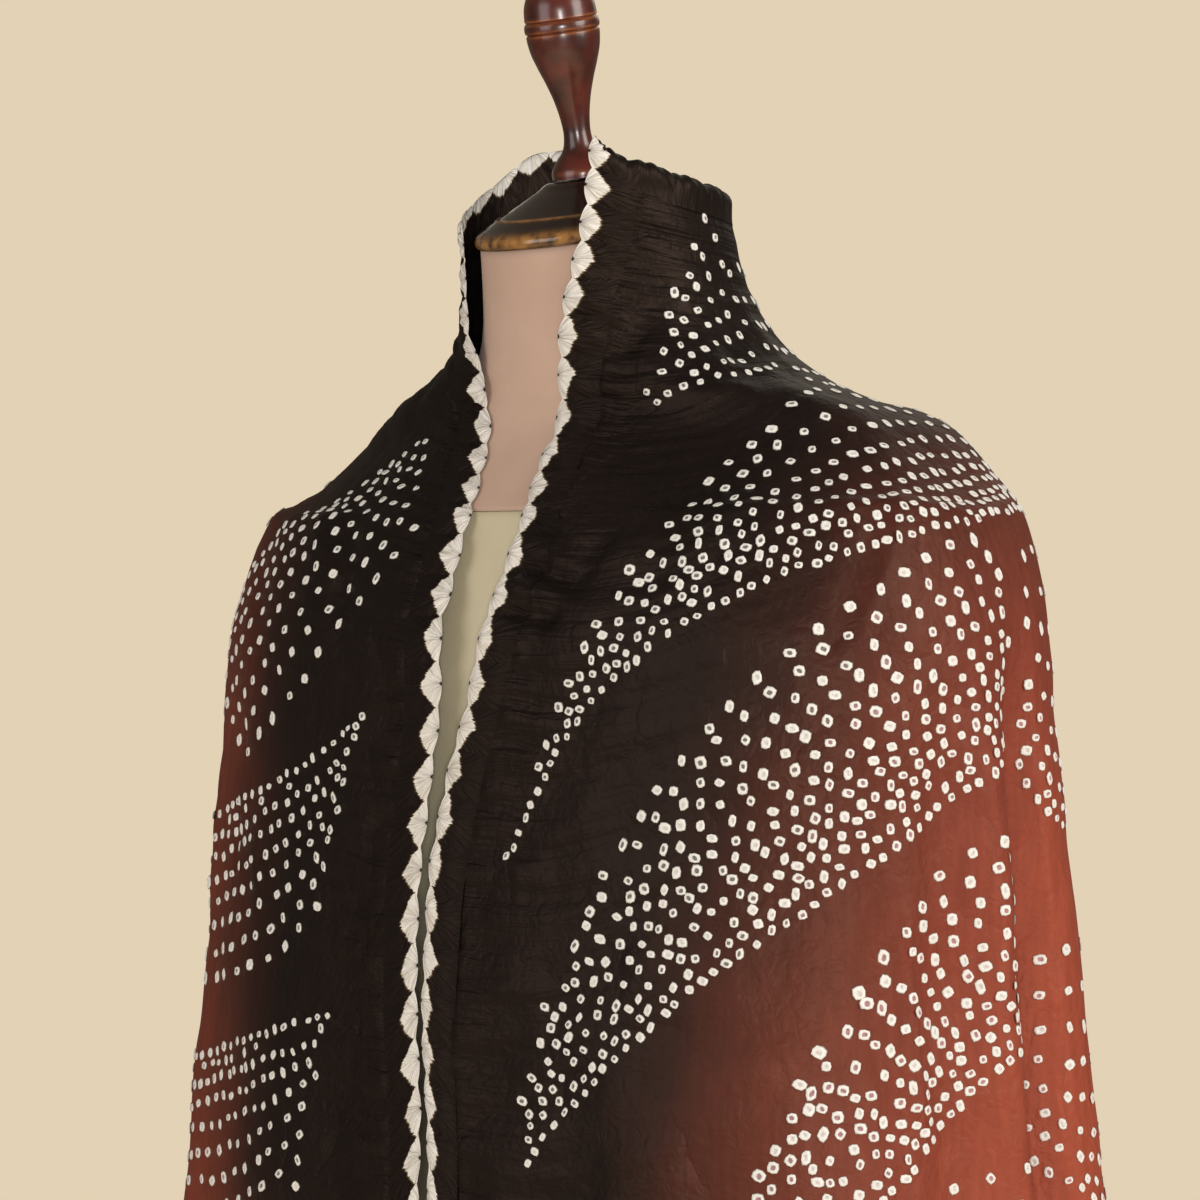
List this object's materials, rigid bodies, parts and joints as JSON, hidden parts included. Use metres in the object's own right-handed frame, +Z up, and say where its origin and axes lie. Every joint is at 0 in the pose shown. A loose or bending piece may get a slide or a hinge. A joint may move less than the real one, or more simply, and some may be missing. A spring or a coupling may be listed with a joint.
{
  "type": "bandhani shawl on a dress form stand",
  "caption": "Tie-dyed bandhani shawl worn like an open cape with a standing collar, on a plain dress form with a turned cap, pole and round base.",
  "frame": {"origin": "centre of the round base's underside, on the floor", "axes": "+Z up, -Y the way the form faces, +X towards the form's left shoulder"},
  "size_m": [0.6142, 0.42, 1.5993],
  "materials": {
    "dyed_cloth": "fine satin weave, tie-dyed from near black at the scalloped edge to rust, with small white dots",
    "taupe_jersey": "smooth matt jersey cover",
    "cream_cover": "matt cotton cover",
    "mahogany": "dark gloss lacquer"
  },
  "bodies": {
    "root": {"shawl": "dyed_cloth", "form_upper": "taupe_jersey", "form_body": "cream_cover", "neck_cap": "mahogany", "finial": "mahogany", "pole": "mahogany", "base": "mahogany"}
  },
  "joints": []
}
